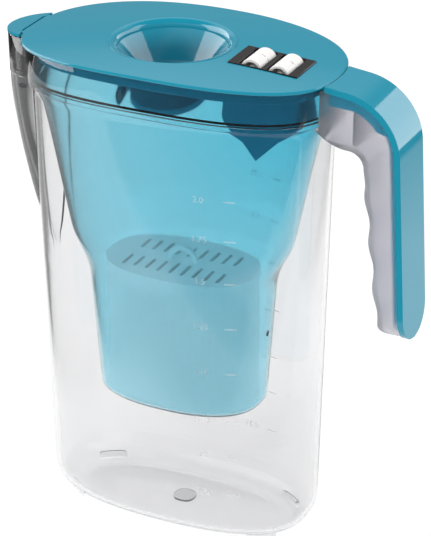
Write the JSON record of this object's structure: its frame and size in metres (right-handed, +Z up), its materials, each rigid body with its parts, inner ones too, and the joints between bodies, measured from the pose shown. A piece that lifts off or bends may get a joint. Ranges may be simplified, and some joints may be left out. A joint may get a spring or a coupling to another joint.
{
  "type": "water filter pitcher",
  "caption": "Oval clear water filter pitcher with a hanging hopper, filter cartridge, hinged filling flap, flip spout cap, calendar wheels and open handle.",
  "frame": {"origin": "centre of the jug's oval standing face, at table height", "axes": "+Z up, +X from the jug towards the handle, -X towards the spout, +Y across the jug"},
  "size_m": [0.2393, 0.1108, 0.2815],
  "materials": {
    "clear_body": "clear, glossy",
    "teal": "satin translucent colour",
    "teal_dark": "satin translucent colour in shade",
    "hopper_blue": "translucent, frosted",
    "calendar_dark": "gloss",
    "wheel_white": "matte",
    "pin_steel": "drawn",
    "cartridge_white": "satin",
    "seal_rubber": "matte",
    "granules": "loose grains",
    "screen_fabric": "fine mesh"
  },
  "bodies": {
    "jug_body": {"jug": "clear_body", "handle_grip": "clear_body", "handle_cover": "teal"},
    "hopper_body": {"hopper": "hopper_blue"},
    "lid_body": {"lid": "teal", "flap_pin": "pin_steel", "spout_pin": "pin_steel", "calendar_frame": "calendar_dark", "calendar_housing": "teal_dark", "wheel_axles": "pin_steel"},
    "flap_body": {"filling_flap": "teal_dark"},
    "cap_body": {"spout_cap": "teal"},
    "month_body": {"month_wheel": "wheel_white"},
    "day_body": {"day_wheel": "wheel_white"},
    "cartridge": {"cartridge_body": "cartridge_white", "cartridge_cap": "cartridge_white", "cartridge_seal": "seal_rubber", "filter_granules": "granules", "upper_screen": "screen_fabric", "lower_screen": "screen_fabric"}
  },
  "joints": [
    {"name": "hopper_lift", "type": "slide", "parent": "jug_body", "child": "hopper_body", "axis": [0, 0, 1], "range_m": [0, 0.205]},
    {"name": "lid_lift", "type": "slide", "parent": "hopper_body", "child": "lid_body", "axis": [0, 0, 1], "range_m": [0, 0.06]},
    {"name": "flap_turn", "type": "hinge", "parent": "lid_body", "child": "flap_body", "pos_m": [-0.0308, 0, 0.2511], "axis": [0, 1, 0], "range_deg": [0, 80], "stiffness_Nm_per_rad": 0.002, "springref_deg": -34.38},
    {"name": "cap_turn", "type": "hinge", "parent": "lid_body", "child": "cap_body", "pos_m": [-0.0885, 0, 0.27407], "axis": [0, 1, 0], "range_deg": [0, 45]},
    {"name": "month_turn", "type": "hinge", "parent": "lid_body", "child": "month_body", "pos_m": [0.04503, 0, 0.27533], "axis": [0, 1, 0], "continuous": true},
    {"name": "day_turn", "type": "hinge", "parent": "lid_body", "child": "day_body", "pos_m": [0.0605, 0, 0.27445], "axis": [0, 1, 0], "continuous": true},
    {"name": "cartridge_lift", "type": "slide", "parent": "hopper_body", "child": "cartridge", "axis": [0, 0, 1], "range_m": [0, 0.04]}
  ]
}
